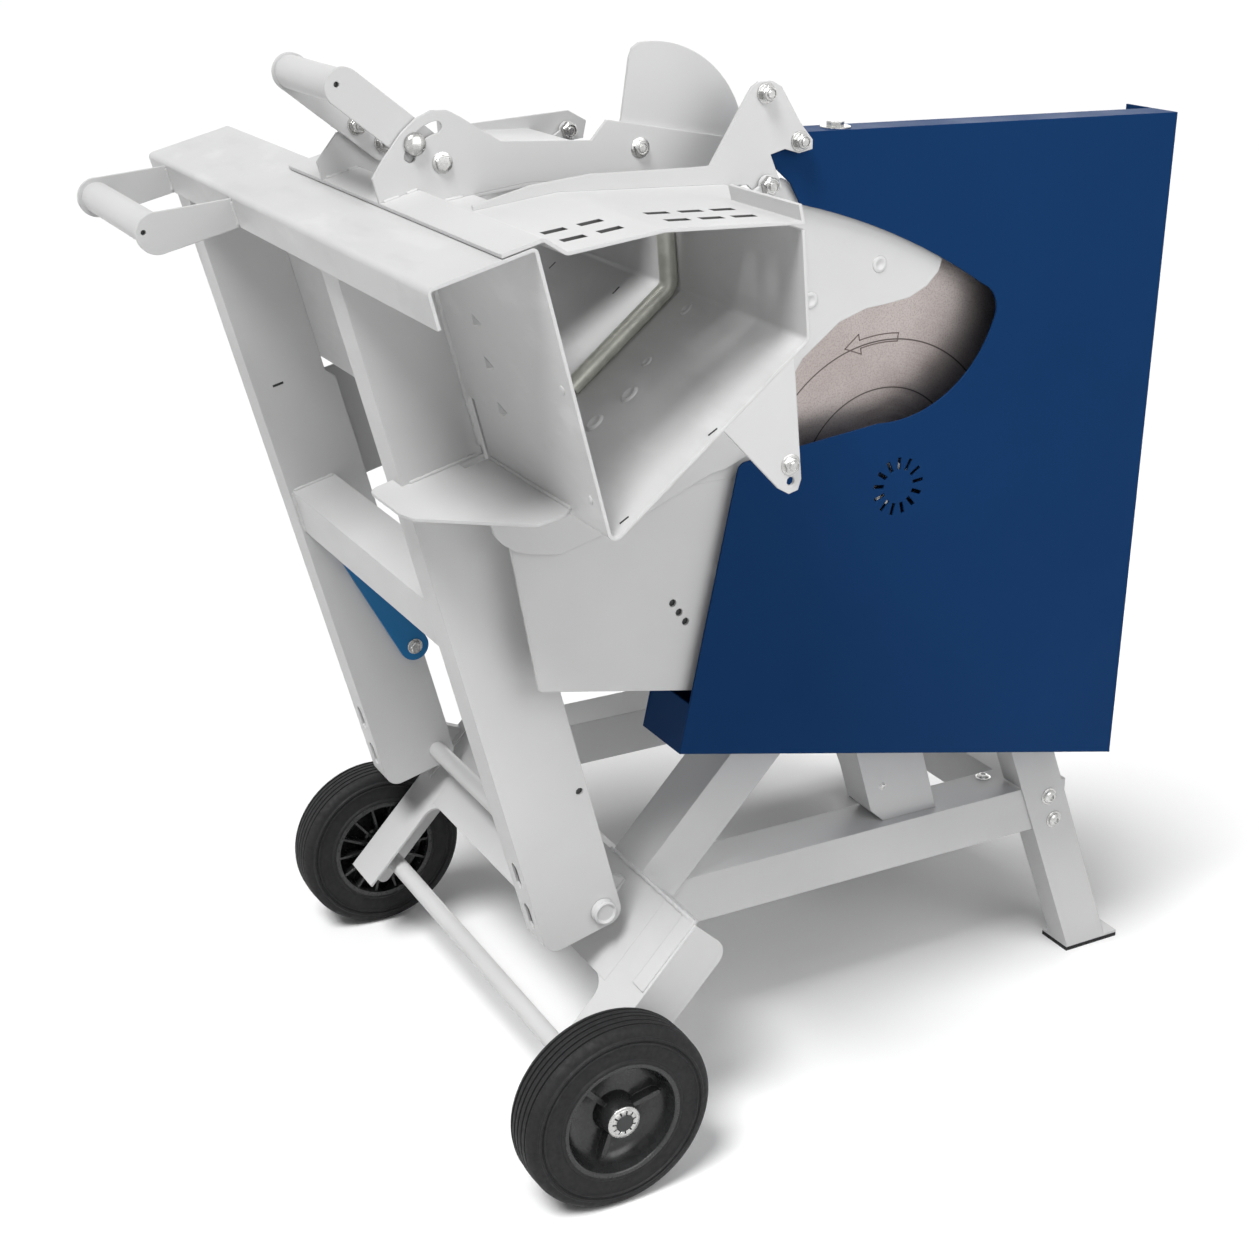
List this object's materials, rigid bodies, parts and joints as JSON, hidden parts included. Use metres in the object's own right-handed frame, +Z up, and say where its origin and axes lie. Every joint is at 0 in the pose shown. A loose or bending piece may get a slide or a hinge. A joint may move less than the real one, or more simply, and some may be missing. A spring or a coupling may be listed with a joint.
{
  "type": "rocker log saw",
  "caption": "Floor-standing firewood saw: a tilting log trough with a hinged hold-down lid swings on a wheeled frame against a guarded circular blade driven by a motor.",
  "frame": {"origin": "on the floor under the middle of the machine's box at rest", "axes": "+X along the log trough towards the guard, +Y from the operator towards the blade, +Z up"},
  "size_m": [0.7804, 1.0657, 1.08],
  "materials": {
    "grey_paint": "powder-coated light grey",
    "blue_paint": "powder-coated dark blue",
    "lever_blue": "painted mid blue",
    "bright_steel": "zinc-plated or bare steel",
    "black_plastic": "moulded black",
    "black_rubber": "matt",
    "motor_alloy": "cast and painted",
    "green_plastic": "gloss",
    "red_plastic": "gloss"
  },
  "bodies": {
    "base": {"near_wheel_arm": "grey_paint", "far_wheel_arm": "grey_paint", "front_cross_beam": "grey_paint", "inclined_strut": "grey_paint", "near_long_beam": "grey_paint", "far_long_beam": "grey_paint", "rear_cross_beam": "grey_paint", "near_foot_leg": "grey_paint", "far_foot_leg": "grey_paint", "foot_pads": "black_rubber", "motor_post": "grey_paint", "frame_bolts": "bright_steel", "pivot_lugs": "grey_paint", "pivot_shaft": "grey_paint", "wheel_axle": "grey_paint", "motor_housing": "motor_alloy", "motor_fan_cover": "black_plastic", "motor_plate": "grey_paint", "switch_box": "black_plastic", "power_inlet": "black_plastic", "guard_front_cover": "blue_paint", "guard_back_sheet": "blue_paint", "guard_spacers": "bright_steel", "left_blade_panel": "grey_paint"},
    "near_wheel": {"near_tyre": "black_rubber", "near_wheel_hub": "black_plastic"},
    "far_wheel": {"far_tyre": "black_rubber", "far_wheel_hub": "black_plastic"},
    "blade": {"saw_blade": "bright_steel", "outer_blade_flange": "bright_steel", "arbor_bolt": "bright_steel", "arbor_shaft": "bright_steel"},
    "rocker": {"near_rocker_leg": "grey_paint", "far_rocker_leg": "grey_paint", "rocker_mid_beam": "grey_paint", "trough": "grey_paint", "trough_gusset": "grey_paint", "trough_end_bracket": "grey_paint", "log_rod": "bright_steel", "blade_shield": "grey_paint", "lid_hinge_brackets": "grey_paint", "push_handle_arms": "grey_paint", "push_handle_tube": "grey_paint", "rocker_bolts": "bright_steel"},
    "lid": {"lid_plate": "grey_paint", "lid_near_web": "grey_paint", "lid_far_web": "grey_paint", "lid_fin": "grey_paint", "lid_end_web": "grey_paint", "lid_handle_ear": "grey_paint", "lid_bolts": "bright_steel"},
    "lid_handle": {"lid_handle_arms": "grey_paint", "lid_handle_tube": "grey_paint", "handle_stud": "bright_steel"},
    "lock_lever": {"lock_lever": "lever_blue"},
    "start_button": {"start_button": "green_plastic"},
    "stop_button": {"stop_button": "red_plastic"}
  },
  "joints": [
    {"name": "near_wheel_spin", "type": "hinge", "parent": "base", "child": "near_wheel", "pos_m": [0.25725, -0.23463, 0.1], "axis": [1, 0, 0], "continuous": true},
    {"name": "far_wheel_spin", "type": "hinge", "parent": "base", "child": "far_wheel", "pos_m": [-0.36075, -0.23463, 0.1], "axis": [1, 0, 0], "continuous": true},
    {"name": "blade_spin", "type": "hinge", "parent": "base", "child": "blade", "pos_m": [0.15825, 0.11437, 0.659], "axis": [1, 0, 0], "continuous": true},
    {"name": "rocker_swing", "type": "hinge", "parent": "base", "child": "rocker", "pos_m": [-0.05175, -0.18663, 0.25], "axis": [-1, 0, 0], "range_deg": [0, 22], "stiffness_Nm_per_rad": 120, "springref_deg": -5.73},
    {"name": "lid_open", "type": "hinge", "parent": "rocker", "child": "lid", "pos_m": [-0.05175, -0.05147, 0.9615], "axis": [-1, 0, 0], "range_deg": [0, 75]},
    {"name": "lid_handle_set", "type": "hinge", "parent": "lid", "child": "lid_handle", "pos_m": [0.06825, -0.33017, 0.99272], "axis": [1, 0, 0], "range_deg": [-45, 20]},
    {"name": "lock_lever_turn", "type": "hinge", "parent": "rocker", "child": "lock_lever", "pos_m": [-0.26875, -0.21079, 0.38733], "axis": [-1, 0, 0], "range_deg": [0, 60]},
    {"name": "start_press", "type": "slide", "parent": "base", "child": "start_button", "axis": [0, -1, 0], "range_m": [0, 0.003], "stiffness_N_per_m": 800},
    {"name": "stop_press", "type": "slide", "parent": "base", "child": "stop_button", "axis": [0, -1, 0], "range_m": [0, 0.003], "stiffness_N_per_m": 800}
  ]
}
